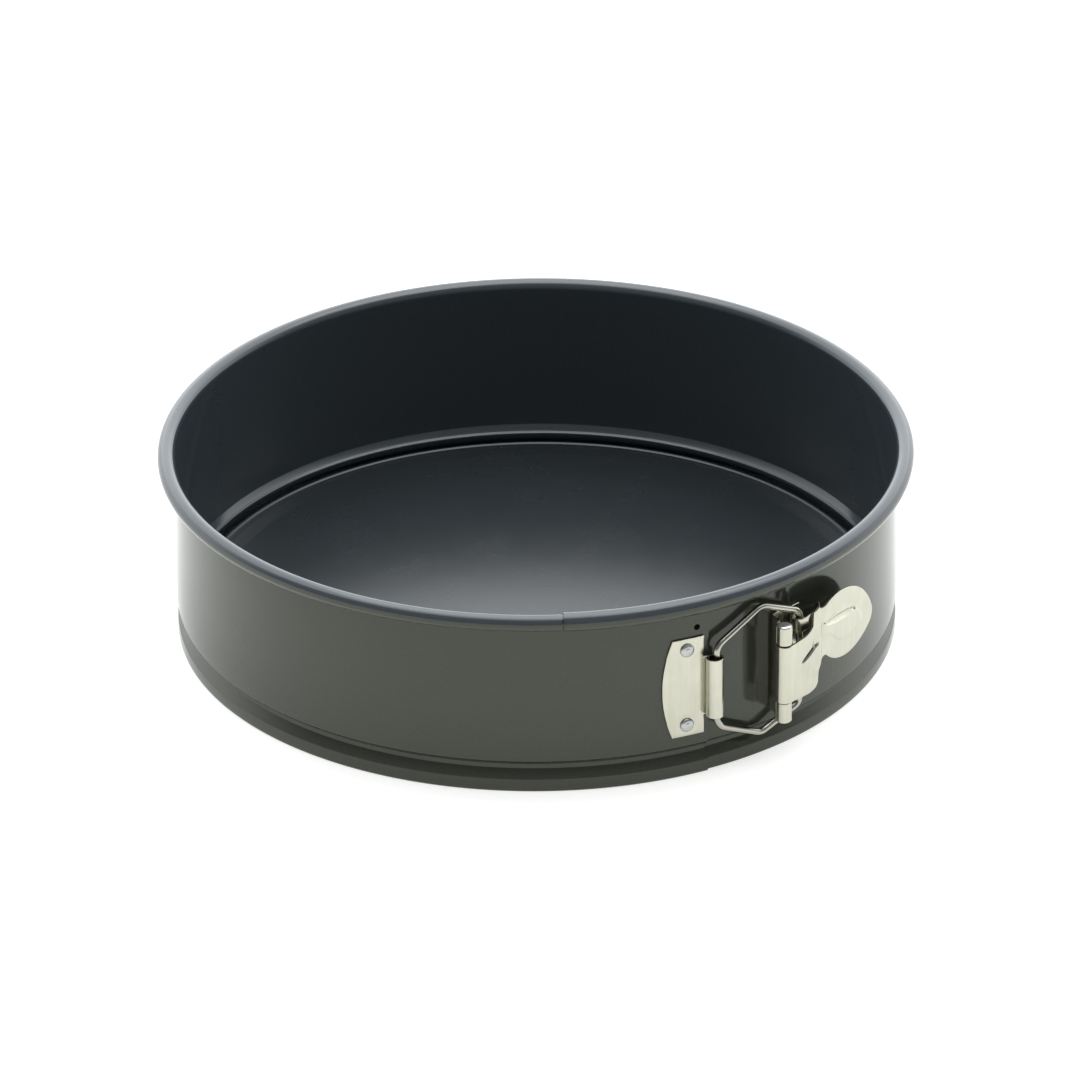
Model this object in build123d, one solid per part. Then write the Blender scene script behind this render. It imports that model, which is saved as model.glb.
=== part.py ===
from build123d import *
import math
import os

# A round springform cake pan: a sprung sheet band whose two ends overlap, a pressed base that the
# band grips, and an over-centre latch made of a sleeve plate, a wire bail, a bracket and a lever.
#
# Frame: millimetres, +Z up, Z = 0 at the surface that the pan stands on, the Z axis through the
# middle of the pan. The front of the pan faces -Y. Angles around the pan are counted in degrees
# from the front towards +X, so the latch lies at about 40 degrees.

# ---------------------------------------------------------------- driving sizes
inside_diameter = 260.0
pan_height = 72.0
band_thickness = 0.5
rim_radius = 3.2             # outside radius of the curl round the top edge
rim_wrap_angle = 280.0       # how far the curl is rolled
nested_rim_radius = 2.4      # the tucked-in curl where one end lies inside the other

groove_bottom_height = 5.4   # the groove pressed inwards above the bottom flange
groove_crest_height = 8.2
groove_top_height = 11.2
groove_depth = 3.0
lip_width = 3.4              # the inward lip that carries the base
crease_radius = 1.0
lip_corner_radius = 0.8

layer_step = 0.9             # how far the outer end stands outside the inner one
inner_tip_angle = 3.9        # where the right-hand end of the band stops
outer_tip_angle = 27.2       # where the left-hand end of the band stops
rim_end_gap = 0.6            # between the left curl's shoulder and the right curl's end

base_thickness = 0.8
base_edge_clearance = 0.8
base_crest_clearance = 0.6
base_height = 6.6            # top of the base in the middle
base_step_height = 0.6       # the outer ring of the base stands a little higher
base_step_inset = 7.4        # from the edge of the raised ring in to the middle of the step
base_step_width = 5.0
base_side_slope = 0.8
base_bend_radius = 1.0

latch_height = 36.0          # middle of the latch above the table
hardware_thickness = 0.8
plate_angle = 23.4           # the line of the two plate rivets
plate_height = 38.5
plate_left_reach = 5.6       # from the rivets to the plate's left corners
plate_bow = 3.8              # how far the left edge bows out past its corners
plate_right_reach = 6.6
sleeve_angle = 27.6
sleeve_radius = 3.1
sleeve_bottom = 23.8
sleeve_top = 46.9
sleeve_opening_angle = 60.0  # left open where the roll comes back to the plate
neck_lap = 1.0               # how far the neck runs onto the plate

rivet_pitch = 29.7
rivet_head_diameter = 5.2
rivet_head_height = 1.1
rivet_shank_diameter = 2.6
rivet_tail_diameter = 4.2
rivet_tail_height = 0.22
rivet_clearance = 0.03
rivet_seat_gap = 0.03        # a flat tail stands this far off the middle of the curved band

hole_diameter = 2.0          # small locating hole in the band
hole_angle = 25.2
hole_height = 58.8

wire_diameter = 2.5
bail_shift = 0.75            # the closed latch pulls the wire to this side of the sleeve
bail_angle = 43.1            # the far leg of the bail, with the latch closed
bail_standoff = 4.5          # of the far leg's middle from the wall
bail_near_top = 51.0         # heights at which the bail turns, at the sleeve's leg
bail_near_bottom = 19.4
bail_high_corner = 61.4      # at its outer corners
bail_low_corner = 10.7
bail_corner_reach = 19.2     # from the sleeve's leg to the outer corners
bail_far_top = 54.5          # and at the far leg
bail_far_bottom = 17.5
bail_bend_radius = 4.6
bail_wide_bend_radius = 6.0  # where the wire leaves the lower end of the sleeve
bail_end_bend_radius = 3.0   # at the far leg

pin_angle = 37.9
pin_standoff = 10.5          # of the pin's axis from the wall
pin_diameter = 2.6
pin_clearance = 0.08
pin_head_height = 0.7
pin_head_diameter = 5.2
knuckle_radius = 2.8
knuckle_gap = 0.3
lever_knuckle_bottom = 25.2
lever_knuckle_top = 47.7

bracket_thickness = 1.0
bracket_bottom = 17.4
bracket_top = 54.9
bracket_foot_length = 14.5
bracket_web_lean = 3.4       # how far the web leans back to the right on its way to the wall
bracket_rivet_reach = 9.0    # from the pin's line to the bracket's two rivets
bracket_rivet_pitch = 20.0

lever_thickness = 0.9
crest_angle = 45.3           # the fold between the lever's hinge part and its paddle
crest_standoff = 10.1
crest_bottom = 31.0
crest_spike_height = 58.4
arm_bottom = 24.4
arm_corner_reach = 5.2       # from the crest back to where the arm's lower edge turns up to it
arm_corner_radius = 6.5
arm_notch_reach = 4.1        # from the crest back to the notch under the upper ear
arm_notch_height = 49.7
arm_notch_lead = 4.0         # the arm's upper edge runs up into the notch over this length
upper_ear_bottom = 50.2
lower_ear_bottom = 26.0
ear_length = 5.6
ear_clearance = 0.5
ear_wrap_angle = 100.0       # how far an ear rolls round behind the bail
paddle_end_angle = 60.2
paddle_end_standoff = 6.9
paddle_neck_top = 54.5
paddle_neck_bottom = 33.6
paddle_neck_length = 4.0
paddle_tip_height = 39.5
paddle_tip_radius = 4.5
paddle_upper_radius = 24.5
paddle_lower_radius = 20.0
rib_length = 18.4            # the rib pressed backwards into the paddle
rib_width = 2.4
rib_depth = 0.5
rib_height = 46.3
rib_reach = 13.4             # from the crest to the middle of the rib
leaf_reach = 6.2             # from the crest back to the domed leaf pressed out of the arm
leaf_height = 34.6
leaf_radius = 5.0
leaf_rise = 1.1
slit_length = 9.6            # the slit along the leaf's upper side
slit_width = 0.6
slit_slope = 27.0
slit_reach = 4.2             # from the middle of the leaf up to the slit

# ---------------------------------------------------------------- values worked out from the above
inside_radius = inside_diameter / 2
wall_radius = inside_radius + band_thickness
layer_offset = layer_step / 2
outer_layer_radius = inside_radius + layer_offset
outer_wall_radius = outer_layer_radius + band_thickness
rim_centre_height = pan_height - rim_radius
wire_radius = wire_diameter / 2
pin_radius = pin_diameter / 2
shank_radius = rivet_shank_diameter / 2
sleeve_circle_radius = outer_wall_radius + sleeve_radius
bail_circle_radius = wall_radius + bail_standoff
pin_circle_radius = wall_radius + pin_standoff
crest_circle_radius = wall_radius + crest_standoff
paddle_end_radius = wall_radius + paddle_end_standoff
plate_rivet_heights = [latch_height + rivet_pitch / 2, latch_height - rivet_pitch / 2]
bracket_rivet_angle = pin_angle + math.degrees(bracket_rivet_reach / wall_radius)
bracket_rivet_heights = [
    latch_height + bracket_rivet_pitch / 2,
    latch_height - bracket_rivet_pitch / 2,
]
outer_axis = Pos(0, -layer_offset, 0)     # the left half of the band turns about this axis


# ---------------------------------------------------------------- helpers
def turned(angle):
    """Turn a piece drawn at the front of the pan to its angle around the pan."""
    return Rot(0, 0, angle)


def at_front(angle, radius, front_angle=0.0):
    """A point in plan, at an angle and a radius, as seen with front_angle turned to the front."""
    a = math.radians(angle - front_angle)
    return (radius * math.sin(a), -radius * math.cos(a))


def sheet_section(path, thickness, side):
    """The closed section of a bent sheet, from the line of one of its faces."""
    return make_face(path.offset_2d(thickness, kind=Kind.ARC, side=side, closed=True).edges())


def ring(section, start_angle, sweep):
    """Revolve a section, drawn as radius and height, about the pan's axis."""
    return turned(start_angle - 90) * revolve(Plane.XZ * section, Axis.Z, sweep)


def upright(outline, bottom, top):
    """Stand a plan outline up between two heights."""
    return Pos(0, 0, bottom) * extrude(make_face(Polyline(*outline, close=True)), top - bottom)


def standing_sheet(start, end, thickness):
    """An upright flat sheet between two plan points, as tall as the pan, its thickness behind them."""
    behind_start = (start[0], start[1] + thickness)
    behind_end = (end[0], end[1] + thickness)
    return upright([start, end, behind_end, behind_start], 0, pan_height)


def elevation(outline):
    """A block that trims a standing sheet to an outline seen from the front."""
    return extrude(Plane.XZ * outline, 2 * inside_radius)


def tube(outer, inner, bottom, top):
    """A vertical tube on the local origin."""
    return Pos(0, 0, bottom) * extrude(Circle(outer) - Circle(inner), top - bottom)


def rivet(face_radius, grip, head_height, tail_height):
    """A dome-headed rivet pointing at the pan's axis, with its head on a face of that radius."""
    head_radius = rivet_head_diameter / 2
    ball_radius = (head_radius**2 + head_height**2) / (2 * head_height)
    dome = Pos(0, 0, head_height - ball_radius) * Sphere(ball_radius)
    head = dome & Pos(0, 0, head_height / 2) * Cylinder(head_radius, head_height)
    reach = grip + rivet_seat_gap
    shank = Pos(0, 0, -reach / 2) * Cylinder(shank_radius, reach)
    tail = Pos(0, 0, -reach - tail_height / 2) * Cylinder(rivet_tail_diameter / 2, tail_height)
    return Pos(0, -face_radius, 0) * Rot(90, 0, 0) * (head + shank + tail)


def rivet_hole(face_radius, grip):
    """The hole for such a rivet, a little longer than its grip."""
    hole = Cylinder(shank_radius + rivet_clearance, 2 * grip)
    return Pos(0, -face_radius + grip / 2, 0) * Rot(90, 0, 0) * hole


# ---------------------------------------------------------------- band
def band_section(inner_radius, curl_radius, with_lip):
    """The section of the band's sheet: lip, flange, groove, wall and curled rim."""
    crest = inner_radius - groove_depth
    side = [
        (inner_radius, groove_bottom_height),
        (crest, groove_crest_height),
        (inner_radius, groove_top_height),
        (inner_radius, rim_centre_height),
    ]
    radii = [crease_radius, crease_radius, crease_radius]
    if with_lip:
        side = [(inner_radius - lip_width, band_thickness), (inner_radius, band_thickness)] + side
        radii = [lip_corner_radius] + radii
    else:
        side = [(inner_radius, 0)] + side
    wall = FilletPolyline(*side, radius=radii)
    centre = (inner_radius + curl_radius, rim_centre_height)
    curl = CenterArc(centre, curl_radius, 180, -rim_wrap_angle)
    return sheet_section(Wire(wall.edges() + curl.edges()), band_thickness, Side.RIGHT)


def make_band():
    right = ring(band_section(inside_radius, rim_radius, True), inner_tip_angle, 180 - inner_tip_angle)
    shoulder = inner_tip_angle - math.degrees(rim_end_gap / inside_radius)
    left = ring(band_section(outer_layer_radius, rim_radius, True), 180, 180 + shoulder)
    lap_section = band_section(outer_layer_radius, nested_rim_radius, False)
    lap = ring(lap_section, shoulder, outer_tip_angle - shoulder)
    band = right + outer_axis * left + outer_axis * lap
    for height in plate_rivet_heights:
        band -= outer_axis * turned(plate_angle) * Pos(0, 0, height) * lap_rivet_hole()
    for height in bracket_rivet_heights:
        hole = rivet_hole(wall_radius, band_thickness)
        band -= turned(bracket_rivet_angle) * Pos(0, 0, height) * hole
    locating_hole = Rot(90, 0, 0) * Cylinder(hole_diameter / 2, 4 * layer_step)
    band -= turned(hole_angle) * Pos(0, -wall_radius, hole_height) * locating_hole
    return band


def lap_rivet_hole():
    """The hole in the outer layer alone."""
    hole = Cylinder(shank_radius + rivet_clearance, band_thickness + rivet_tail_height)
    return Pos(0, -outer_layer_radius - band_thickness / 2, 0) * Rot(90, 0, 0) * hole


# ---------------------------------------------------------------- base
def make_base():
    low = base_height
    high = base_height + base_step_height
    flange = band_thickness + base_thickness
    plateau_edge = inside_radius - groove_depth - base_crest_clearance
    step_middle = plateau_edge - base_step_inset
    step_start = step_middle - base_step_width / 2
    step_end = step_middle + base_step_width / 2
    path = FilletPolyline(
        (0, low),
        (step_start, low),
        (step_end, high),
        (plateau_edge - base_side_slope, high),
        (plateau_edge, flange),
        (inside_radius - base_edge_clearance, flange),
        radius=[base_bend_radius, base_bend_radius, base_bend_radius, base_bend_radius],
    )
    return ring(sheet_section(path, base_thickness, Side.RIGHT), 0, 360)


# ---------------------------------------------------------------- latch plate and its rivets
def make_latch_plate():
    """The riveted plate, with the sleeve rolled out of its right-hand edge round the bail."""
    half = plate_height / 2
    low = latch_height - half
    high = latch_height + half
    outline = [
        Line((-plate_left_reach, low), (plate_right_reach, low)),
        Line((plate_right_reach, low), (plate_right_reach, high)),
        Line((plate_right_reach, high), (-plate_left_reach, high)),
        ThreePointArc(
            (-plate_left_reach, high),
            (-plate_left_reach - plate_bow, latch_height),
            (-plate_left_reach, low),
        ),
    ]
    face = Plane.XZ * make_face(outline)
    cutter = extrude(face, 2 * inside_radius)
    sheet = tube(outer_wall_radius + hardware_thickness, outer_wall_radius, low, high)
    plate = turned(plate_angle) * (sheet & cutter)
    for height in plate_rivet_heights:
        hole = rivet_hole(outer_wall_radius + hardware_thickness, hardware_thickness)
        plate -= turned(plate_angle) * Pos(0, 0, height) * hole

    neck_start = at_front(plate_angle, outer_wall_radius, sleeve_angle)[0] + plate_right_reach
    neck_length = neck_lap - neck_start
    neck = Pos(-neck_length / 2, -outer_wall_radius - hardware_thickness / 2)
    neck *= Rectangle(neck_length, hardware_thickness)
    roll = Circle(sleeve_radius) - Circle(sleeve_radius - hardware_thickness)
    opening = [(0, 0)]
    for angle in (90, 90 + sleeve_opening_angle / 2, 90 + sleeve_opening_angle):
        a = math.radians(angle)
        opening.append((2 * sleeve_radius * math.cos(a), 2 * sleeve_radius * math.sin(a)))
    roll -= make_face(Polyline(*opening, close=True))
    section = neck + Pos(0, -sleeve_circle_radius) * roll
    sleeve = Pos(0, 0, sleeve_bottom) * extrude(section, sleeve_top - sleeve_bottom)
    return outer_axis * (plate + turned(sleeve_angle) * sleeve)


def make_plate_rivet(height):
    face_radius = outer_wall_radius + hardware_thickness
    grip = hardware_thickness + band_thickness
    piece = rivet(face_radius, grip, rivet_head_height, rivet_tail_height)
    return outer_axis * turned(plate_angle) * Pos(0, 0, height) * piece


# ---------------------------------------------------------------- bail
def make_bail():
    """A closed wire loop, drawn flat from the sleeve's leg at X = 0 and stood up along its chord."""
    near_x, near_y = at_front(sleeve_angle, sleeve_circle_radius)
    near_y -= layer_offset
    far_x, far_y = at_front(bail_angle, bail_circle_radius)
    span = math.hypot(far_x - near_x, far_y - near_y) - bail_shift
    heading = math.degrees(math.atan2(far_y - near_y, far_x - near_x))
    corners = [
        (0, bail_near_bottom),
        (0, bail_near_top),
        (bail_corner_reach, bail_high_corner),
        (span, bail_far_top),
        (span, bail_far_bottom),
        (bail_corner_reach, bail_low_corner),
    ]
    radii = [bail_bend_radius] * len(corners)
    radii[0] = bail_wide_bend_radius
    radii[3] = bail_end_bend_radius
    radii[4] = bail_end_bend_radius
    loop = FilletPolyline(*corners, radius=radii, close=True)
    path = Wire((Plane.XZ * loop).edges())
    start = path.position_at(0)
    section = Plane(origin=start, z_dir=path.tangent_at(0)) * Circle(wire_radius)
    wire = Pos(bail_shift, 0, 0) * sweep(section, path)
    return Pos(near_x, near_y, 0) * Rot(0, 0, heading) * wire


# ---------------------------------------------------------------- bracket, its rivets and the pin
def make_hinge_bracket():
    """A foot on the wall, a web standing out from it, and two knuckles round the pin."""
    t = bracket_thickness
    web_foot = -knuckle_radius + bracket_web_lean
    foot_sweep = math.degrees(bracket_foot_length / wall_radius)
    foot_start = math.degrees(web_foot / wall_radius)
    foot_section = Pos(wall_radius + t / 2, (bracket_bottom + bracket_top) / 2)
    foot_section *= Rectangle(t, bracket_top - bracket_bottom)
    foot = ring(foot_section, foot_start, foot_sweep)

    web_root = -wall_radius - t / 2
    web_outline = [
        (web_foot, web_root),
        (-knuckle_radius, -pin_circle_radius),
        (-knuckle_radius + t, -pin_circle_radius),
        (web_foot + t, web_root),
    ]
    web = upright(web_outline, bracket_bottom, bracket_top)
    bore_radius = pin_radius + pin_clearance
    column = Pos(0, -pin_circle_radius) * tube(knuckle_radius, bore_radius, bracket_bottom, bracket_top)
    window_height = lever_knuckle_top - lever_knuckle_bottom + 2 * knuckle_gap
    window = Cylinder(knuckle_radius + lever_thickness + 2 * knuckle_gap, window_height)
    window_middle = (lever_knuckle_top + lever_knuckle_bottom) / 2
    bracket = foot + web + column - Pos(0, -pin_circle_radius, window_middle) * window
    bracket -= Pos(0, -pin_circle_radius, latch_height) * Cylinder(bore_radius, pan_height)
    for height in bracket_rivet_heights:
        hole = rivet_hole(wall_radius + t, t)
        bracket -= turned(bracket_rivet_angle - pin_angle) * Pos(0, 0, height) * hole
    return turned(pin_angle) * bracket


def make_bracket_rivet(height):
    grip = bracket_thickness + band_thickness
    piece = rivet(wall_radius + bracket_thickness, grip, rivet_head_height, rivet_tail_height)
    return turned(bracket_rivet_angle) * Pos(0, 0, height) * piece


def make_hinge_pin():
    """A straight pin, riveted over into a low dome at each end of the column."""
    length = bracket_top - bracket_bottom
    head_radius = pin_head_diameter / 2
    ball_radius = (head_radius**2 + pin_head_height**2) / (2 * pin_head_height)
    ball = Pos(0, 0, pin_head_height - ball_radius) * Sphere(ball_radius)
    head = ball & Pos(0, 0, pin_head_height / 2) * Cylinder(head_radius, pin_head_height)
    shank = Pos(0, 0, bracket_bottom + length / 2) * Cylinder(pin_radius, length)
    pin = shank + Pos(0, 0, bracket_top) * head + Pos(0, 0, bracket_bottom) * Rot(180, 0, 0) * head
    return turned(pin_angle) * Pos(0, -pin_circle_radius, 0) * pin


# ---------------------------------------------------------------- lever
def make_lever():
    """The knuckle, the arm out to the crest, the paddle beyond it, and two ears for the bail.

    It is drawn with the pin at the front of the pan and then turned to the pin's angle.
    """
    t = lever_thickness
    pin_y = -pin_circle_radius
    root = (0, pin_y - knuckle_radius)
    crest = at_front(crest_angle, crest_circle_radius, pin_angle)
    end = at_front(paddle_end_angle, paddle_end_radius, pin_angle)
    arm = standing_sheet(root, crest, t) & elevation(arm_outline(crest[0]))
    paddle = standing_sheet(crest, end, t) & elevation(paddle_outline(crest[0], end[0]))
    bore_radius = pin_radius + pin_clearance
    knuckle = tube(knuckle_radius, bore_radius, lever_knuckle_bottom, lever_knuckle_top)
    lever = arm + paddle + Pos(0, pin_y) * knuckle
    for bottom in (upper_ear_bottom, lower_ear_bottom):
        lever += Pos(0, 0, bottom) * make_ear(crest[1])
    leaf, slit = make_leaf(root, crest)
    rib, hollow = make_paddle_rib(crest, end)
    return turned(pin_angle) * (lever + leaf + rib - slit - hollow)


def arm_outline(crest_x):
    """The arm seen from the front, with the notch in its upper edge and the spike over the crest."""
    corner_x = crest_x - arm_corner_reach
    notch_x = crest_x - arm_notch_reach
    edges = Polyline(
        (crest_x, crest_bottom),
        (crest_x, crest_spike_height),
        (notch_x, upper_ear_bottom + ear_length),
        (notch_x, arm_notch_height),
        (notch_x - arm_notch_lead, lever_knuckle_top),
        (0, lever_knuckle_top),
        (0, lever_knuckle_bottom),
        (corner_x, arm_bottom),
    ).edges()
    return make_face(edges + [RadiusArc((corner_x, arm_bottom), (crest_x, crest_bottom), -arm_corner_radius)])


def paddle_outline(crest_x, end_x):
    """The paddle seen from the front: a narrow neck, then two arcs that meet in a round tip."""
    neck_top = (crest_x, paddle_neck_top)
    neck_bottom = (crest_x + paddle_neck_length, paddle_neck_bottom)
    tip = (end_x, paddle_tip_height)
    outline = [
        RadiusArc(neck_top, tip, paddle_upper_radius),
        RadiusArc(tip, neck_bottom, paddle_lower_radius),
        Line(neck_bottom, (crest_x, paddle_neck_bottom)),
        Line((crest_x, paddle_neck_bottom), neck_top),
    ]
    face = make_face(outline)
    return fillet(face.vertices().sort_by(Axis.X)[-1], paddle_tip_radius)


def make_ear(front_y):
    """A strip that runs back from the lever's sheet and rolls round behind the bail's far leg."""
    bail_x, bail_y = at_front(bail_angle, bail_circle_radius, pin_angle)
    roll_radius = wire_radius + ear_clearance
    roll = CenterArc((bail_x, bail_y), roll_radius, 0, ear_wrap_angle)
    path = Line((bail_x + roll_radius, front_y), (bail_x + roll_radius, bail_y)) + roll
    return extrude(sheet_section(Wire(path.edges()), lever_thickness, Side.RIGHT), ear_length)


def make_leaf(root, crest):
    """The domed leaf that stands out of the arm beside the crest, and the slit along it."""
    leaf_x = crest[0] - leaf_reach
    slope = (crest[1] - root[1]) / (crest[0] - root[0])
    face_y = root[1] + slope * leaf_x
    ball_radius = (leaf_radius**2 + leaf_rise**2) / (2 * leaf_rise)
    ball = Pos(leaf_x, face_y + ball_radius - leaf_rise, leaf_height) * Sphere(ball_radius)
    front_root = (root[0], root[1] - 2 * leaf_rise)
    front_crest = (crest[0], crest[1] - 2 * leaf_rise)
    leaf = ball & standing_sheet(front_root, front_crest, 2 * leaf_rise + lever_thickness / 2)
    slit = Pos(0, 0, slit_reach) * Box(slit_length, 4 * leaf_rise, slit_width)
    return leaf, Pos(leaf_x, face_y, leaf_height) * Rot(0, -slit_slope, 0) * slit


def make_paddle_rib(crest, end):
    """The rib pressed backwards into the paddle: what stands out behind, and the hollow in front."""
    heading = math.degrees(math.atan2(end[1] - crest[1], end[0] - crest[0]))
    place = Pos(crest[0], crest[1], rib_height) * Rot(0, 0, heading) * Pos(rib_reach, 0, 0) * Rot(-90, 0, 0)
    rib = extrude(SlotOverall(rib_length, rib_width), lever_thickness + rib_depth)
    hollow = extrude(SlotOverall(rib_length, rib_width), rib_depth)
    return place * rib, place * hollow


# ---------------------------------------------------------------- write the pieces
nodes = {
    "band": make_band(),
    "base": make_base(),
    "latch_plate": make_latch_plate(),
    "plate_rivet_upper": make_plate_rivet(plate_rivet_heights[0]),
    "plate_rivet_lower": make_plate_rivet(plate_rivet_heights[1]),
    "bail": make_bail(),
    "hinge_bracket": make_hinge_bracket(),
    "bracket_rivet_upper": make_bracket_rivet(bracket_rivet_heights[0]),
    "bracket_rivet_lower": make_bracket_rivet(bracket_rivet_heights[1]),
    "hinge_pin": make_hinge_pin(),
    "lever": make_lever(),
}

os.makedirs("parts", exist_ok=True)
for name, shape in nodes.items():
    export_step(shape, f"parts/{name}.step")
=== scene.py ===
import math

import bmesh
import bpy
from mathutils import Matrix, Vector


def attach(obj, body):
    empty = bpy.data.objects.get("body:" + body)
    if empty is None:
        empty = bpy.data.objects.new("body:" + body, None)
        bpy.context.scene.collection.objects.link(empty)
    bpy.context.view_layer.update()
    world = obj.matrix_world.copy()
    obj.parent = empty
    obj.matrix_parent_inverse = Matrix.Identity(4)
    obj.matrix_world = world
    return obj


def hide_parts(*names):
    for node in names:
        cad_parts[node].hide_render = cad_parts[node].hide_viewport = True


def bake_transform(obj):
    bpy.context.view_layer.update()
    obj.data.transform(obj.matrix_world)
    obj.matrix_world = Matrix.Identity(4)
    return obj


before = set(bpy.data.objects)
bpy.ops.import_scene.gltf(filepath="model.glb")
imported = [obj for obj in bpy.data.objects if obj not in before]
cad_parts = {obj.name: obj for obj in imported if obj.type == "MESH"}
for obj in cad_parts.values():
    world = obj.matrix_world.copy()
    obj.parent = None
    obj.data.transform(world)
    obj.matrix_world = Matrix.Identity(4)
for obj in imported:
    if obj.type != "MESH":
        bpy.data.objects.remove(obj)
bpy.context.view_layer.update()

# A springform pan: dark coated band and base, pale tinplate latch. Metres, +Z up, the front at -Y.
# Angles around the pan are counted in degrees from the front towards +X.

MM = 0.001

# ---------------------------------------------------------------- sizes, in millimetres
INSIDE_RADIUS = 130.0
SHEET = 0.5
RIM_CENTRE_HEIGHT = 68.8
RIM_RADIUS = 3.2
RIM_WRAP = 280.0
# towards the lap the right half's curl opens and the left half's tightens, over this many degrees
RIM_CHANGE = 60.0
RIGHT_CHANGE_ANGLE = 70.0
RIGHT_OPENING = 0.2
LEFT_CHANGE_ANGLE = 290.0
LEFT_TIGHTENING = 0.25
NESTED_RIM_RADIUS = 2.4
# the groove, from below: how far in each corner stands, its height and how round it is
GROOVE = ((0.0, 5.0, 1.0), (2.6, 8.0, 0.8), (2.9, 10.1, 0.5), (1.9, 10.6, 0.5), (0.0, 12.6, 0.6))
LIP_WIDTH = 3.4
LAP_LIP_WIDTH = 0.6
LIP_BEND = 0.5
LAYER_STEP = 0.9
LAYER_OFFSET = LAYER_STEP / 2
# where the band's two ends stop, and how far before the inner one the lap starts
INNER_TIP_ANGLE = 3.9
OUTER_TIP_ANGLE = 27.2
LAP_HEAD_START = 0.25

BASE_SHEET = 0.8
BASE_HEIGHT = 6.6
BASE_FLAT_RADIUS = 40.0
BASE_STEP_HEIGHT = 0.6
BASE_STEP_RADIUS = 119.0
BASE_STEP_HALF_WIDTH = 2.5
BASE_RIM_RADIUS = 124.6
BASE_RIM_RISE = 0.4
BASE_RIM_SLOPE = 0.7
BASE_BROW_RADIUS = 125.7
BASE_DROP_RADIUS = 126.4
BASE_EDGE_RADIUS = 129.2
BASE_BENDS = (0.9, 0.9, 0.25, 0.25, 0.4, 0.6)

LATCH_HEIGHT = 36.0
# the outsides of the left half and the lap, and of the right half below them
OUTER_WALL = INSIDE_RADIUS + LAYER_OFFSET + SHEET
INNER_WALL = INSIDE_RADIUS + SHEET
HARDWARE = 0.8
PLATE_ANGLE = 23.4
PLATE_HEIGHT = 38.5
PLATE_LEFT = 5.6
PLATE_BOW = 3.8
PLATE_RIGHT = 6.6
SLEEVE_ANGLE = 27.6
SLEEVE_RADIUS = 3.1
SLEEVE_HEIGHTS = (23.8, 46.9)
RIVET_PITCH = 29.7
RIVET_RADIUS = 2.6
RIVET_RISE = 1.1
RIVET_RIM_RISE = 0.22
HOLE_ANGLE = 25.2
HOLE_HEIGHT = 58.8
# the hole's mouth, a flat disc, and its burr, all dressed in painted shade, as radius and rise
HOLE_PROFILE = ((0.0, 0.02), (0.9, 0.02), (1.0, 0.07), (1.12, 0.04), (1.2, -0.02), (0.0, -0.02))

WIRE_RADIUS = 1.25
BAIL_ANGLE = 43.1
BAIL_CIRCLE = INNER_WALL + 4.5
BAIL_SHIFT = 0.75
# how far from the near leg the wire's highest and lowest bends stand
BAIL_KNEE = 19.2

PIN_ANGLE = 37.9
PIN_CIRCLE = INNER_WALL + 10.5
PIN_RADIUS = 1.3
PIN_HEAD_RADIUS = 2.6
PIN_HEAD_RISE = 0.7
KNUCKLE_RADIUS = 2.8
KNUCKLE_GAP = 0.3
BRACKET_SHEET = 1.0
BRACKET_HEIGHTS = (17.4, 54.9)
BRACKET_FOOT = 14.5
BRACKET_LEAN = 3.4
BRACKET_RIVET_REACH = 9.0
BRACKET_RIVET_PITCH = 20.0
# the end of the bracket's web: how far to the right of the pin and how far behind it
WEB_END = (0.4, 4.4)

LEVER_SHEET = 0.9
LEVER_ROLL = 3.1
KNUCKLE_LOW = 25.2
KNUCKLE_HIGH = 47.7
CREST_ANGLE = 45.3
CREST_CIRCLE = INNER_WALL + 10.1
PADDLE_END_ANGLE = 60.2
PADDLE_END_CIRCLE = INNER_WALL + 6.9


# ---------------------------------------------------------------- mesh helpers
def add_object(name, vertices, faces, smooth_angle=40.0):
    """A mesh object from points in millimetres, smooth where its faces meet gently."""
    mesh = bpy.data.meshes.new(name)
    mesh.from_pydata([[c * MM for c in v] for v in vertices], [], faces)
    mesh.validate()
    shell = bmesh.new()
    shell.from_mesh(mesh)
    bmesh.ops.recalc_face_normals(shell, faces=shell.faces)
    shell.to_mesh(mesh)
    shell.free()
    mesh.polygons.foreach_set("use_smooth", [True] * len(mesh.polygons))
    mesh.set_sharp_from_angle(angle=math.radians(smooth_angle))
    obj = bpy.data.objects.new(name, mesh)
    bpy.context.scene.collection.objects.link(obj)
    return obj


def around(angle, radius, height, centre_y=0.0):
    """A point at an angle and radius around the pan."""
    a = math.radians(angle)
    return (radius * math.sin(a), centre_y - radius * math.cos(a), height)


def ease(t):
    """From 0 to 1 without a corner."""
    t = min(max(t, 0.0), 1.0)
    return t * t * (3 - 2 * t)


def bell(t):
    """A smooth bump, 1 in the middle and nearly 0 two steps away."""
    return math.exp(-t * t)


def swung(point, angle, centre_y=0.0):
    """Turn a point drawn at the front of the pan to its angle around the pan."""
    cos, sin = math.cos(math.radians(angle)), math.sin(math.radians(angle))
    x, y, z = point
    return (x * cos - y * sin, centre_y + x * sin + y * cos, z)


def front_point(angle, radius, front_angle):
    """A plan point at an angle and radius, as seen with front_angle turned to the front."""
    x, y, z = around(angle - front_angle, radius, 0.0)
    return Vector((x, y))


def loft(name, loops, closed=False):
    """Join loops of equally many points into a skin: a ring if closed, or with capped ends."""
    count = len(loops[0])
    vertices = [point for loop in loops for point in loop]
    faces = []
    rows = len(loops) if closed else len(loops) - 1
    for row in range(rows):
        here = row * count
        there = (row + 1) % len(loops) * count
        for i in range(count):
            j = (i + 1) % count
            faces.append((here + i, here + j, there + j, there + i))
    if not closed:
        faces.append(tuple(reversed(range(count))))
        faces.append(tuple(range(rows * count, (rows + 1) * count)))
    return add_object(name, vertices, faces)


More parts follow.
